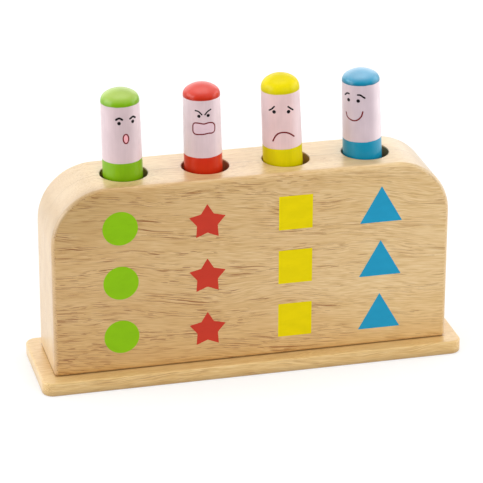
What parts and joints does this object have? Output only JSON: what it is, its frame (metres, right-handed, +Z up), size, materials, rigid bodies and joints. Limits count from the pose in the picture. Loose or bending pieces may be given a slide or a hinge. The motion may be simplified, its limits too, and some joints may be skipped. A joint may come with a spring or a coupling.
{
  "type": "pop up peg toy",
  "caption": "Wooden block on a base board with a row of upright bores, each holding a domed painted peg that stands on a coil spring and pops up when let go.",
  "frame": {"origin": "middle of the underside of the base board, on the surface that the toy stands on", "axes": "+Z up, +X along the row of pegs from the green one to the blue one, -Y towards the printed front"},
  "size_m": [0.2676, 0.069, 0.1845],
  "materials": {
    "base_wood": "satin lacquered beech",
    "front_wood": "satin lacquered beech",
    "back_wood": "satin lacquered beech",
    "spring_wire": "bright drawn wire",
    "staple_wire": "galvanised strip",
    "screw_steel": "zinc plated",
    "peg_green_paint": "turned beech, painted green with a pale band round the middle, satin",
    "peg_red_paint": "turned beech, painted red with a pale band round the middle, satin",
    "peg_yellow_paint": "turned beech, painted yellow with a pale band round the middle, satin",
    "peg_blue_paint": "turned beech, painted blue with a pale band round the middle, satin"
  },
  "bodies": {
    "block": {"base_board": "base_wood", "block_front_board": "front_wood", "block_back_board": "back_wood", "spring_staples": "staple_wire", "base_screws": "screw_steel"},
    "spring_green": {"spring_green": "spring_wire"},
    "peg_green": {"peg_green": "peg_green_paint"},
    "spring_red": {"spring_red": "spring_wire"},
    "peg_red": {"peg_red": "peg_red_paint"},
    "spring_yellow": {"spring_yellow": "spring_wire"},
    "peg_yellow": {"peg_yellow": "peg_yellow_paint"},
    "spring_blue": {"spring_blue": "spring_wire"},
    "peg_blue": {"peg_blue": "peg_blue_paint"}
  },
  "joints": [
    {"name": "press_green", "type": "slide", "parent": "block", "child": "spring_green", "axis": [-0.0244, 0, 0.9997], "range_m": [-0.058, 0], "stiffness_N_per_m": 137, "springref_m": 0.004, "deforming": ["spring_green"]},
    {"name": "lift_green", "type": "slide", "parent": "spring_green", "child": "peg_green", "axis": [-0.0244, 0, 0.9997], "range_m": [0, 0.06]},
    {"name": "press_red", "type": "slide", "parent": "block", "child": "spring_red", "axis": [-0.0227, 0, 0.9997], "range_m": [-0.058, 0], "stiffness_N_per_m": 137, "springref_m": 0.004, "deforming": ["spring_red"]},
    {"name": "lift_red", "type": "slide", "parent": "spring_red", "child": "peg_red", "axis": [-0.0227, 0, 0.9997], "range_m": [0, 0.06]},
    {"name": "press_yellow", "type": "slide", "parent": "block", "child": "spring_yellow", "axis": [-0.0436, 0, 0.999], "range_m": [-0.058, 0], "stiffness_N_per_m": 137, "springref_m": 0.004, "deforming": ["spring_yellow"]},
    {"name": "lift_yellow", "type": "slide", "parent": "spring_yellow", "child": "peg_yellow", "axis": [-0.0436, 0, 0.999], "range_m": [0, 0.06]},
    {"name": "press_blue", "type": "slide", "parent": "block", "child": "spring_blue", "axis": [-0.0401, 0, 0.9992], "range_m": [-0.058, 0], "stiffness_N_per_m": 137, "springref_m": 0.004, "deforming": ["spring_blue"]},
    {"name": "lift_blue", "type": "slide", "parent": "spring_blue", "child": "peg_blue", "axis": [-0.0401, 0, 0.9992], "range_m": [0, 0.06]}
  ]
}
